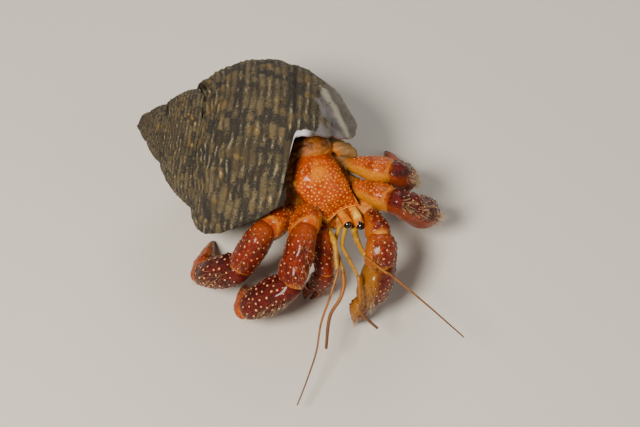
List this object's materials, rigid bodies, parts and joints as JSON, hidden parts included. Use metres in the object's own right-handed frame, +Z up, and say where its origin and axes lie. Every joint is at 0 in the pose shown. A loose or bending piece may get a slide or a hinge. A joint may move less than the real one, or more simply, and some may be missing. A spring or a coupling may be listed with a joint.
{
  "type": "land hermit crab in a turban shell",
  "caption": "Still, life-size land hermit crab standing on its leg tips, with a worn, coiled turban shell on its back and long bent feelers.",
  "frame": {"origin": "on the floor, under the middle of the bounding box", "axes": "+Z up; the crab faces -Y and about 28 degrees towards +X, with its head down; the pointed end of the shell points to -X; the tail and the top of the shell lie towards +Y"},
  "size_m": [0.0626, 0.0678, 0.0335],
  "materials": {
    "claw_plate": "satin",
    "cornea": "gloss",
    "eyestalk": "gloss",
    "feeler": "satin",
    "feeler_base": "satin",
    "joint_skin": "satin",
    "leg_plate": "satin",
    "leg_tip": "satin",
    "mouthpart": "satin",
    "shell": "matte",
    "shield": "gloss",
    "soft_skin": "satin",
    "upper_leg_plate": "satin"
  },
  "bodies": {
    "root": {"shell": "shell", "cornea_right": "cornea", "eyestalk_right": "eyestalk", "cornea_left": "cornea", "eyestalk_left": "eyestalk", "shield": "shield", "thorax": "soft_skin", "hind_carapace": "soft_skin", "abdomen": "soft_skin", "maxilliped_right": "mouthpart", "maxilliped_left": "mouthpart", "antenna_right_base": "feeler_base", "antenna_right_whip": "feeler", "antenna_left_base": "feeler_base", "antenna_left_whip": "feeler", "antennule_right_base": "feeler_base", "antennule_right_whip": "feeler", "antennule_left_base": "feeler_base", "antennule_left_whip": "feeler", "leg2_right_coxa": "joint_skin", "leg2_right_merus": "upper_leg_plate", "leg2_right_carpus": "leg_plate", "leg2_right_propodus": "leg_plate", "leg2_right_dactyl": "leg_tip", "leg3_right_coxa": "joint_skin", "leg3_right_merus": "upper_leg_plate", "leg3_right_carpus": "leg_plate", "leg3_right_propodus": "leg_plate", "leg3_right_dactyl": "leg_tip", "leg2_left_coxa": "joint_skin", "leg2_left_merus": "upper_leg_plate", "leg2_left_carpus": "leg_plate", "leg2_left_propodus": "leg_plate", "leg2_left_dactyl": "leg_tip", "leg3_left_coxa": "joint_skin", "leg3_left_merus": "upper_leg_plate", "leg3_left_carpus": "leg_plate", "leg3_left_propodus": "leg_plate", "leg3_left_dactyl": "leg_tip", "claw_right_coxa": "joint_skin", "claw_right_merus": "claw_plate", "claw_right_carpus": "claw_plate", "claw_right_finger": "claw_plate", "claw_right_palm": "claw_plate", "claw_left_coxa": "joint_skin", "claw_left_merus": "claw_plate", "claw_left_carpus": "claw_plate", "claw_left_finger": "claw_plate", "claw_left_palm": "claw_plate", "leg4_left": "soft_skin", "leg4_right": "soft_skin"}
  },
  "joints": []
}
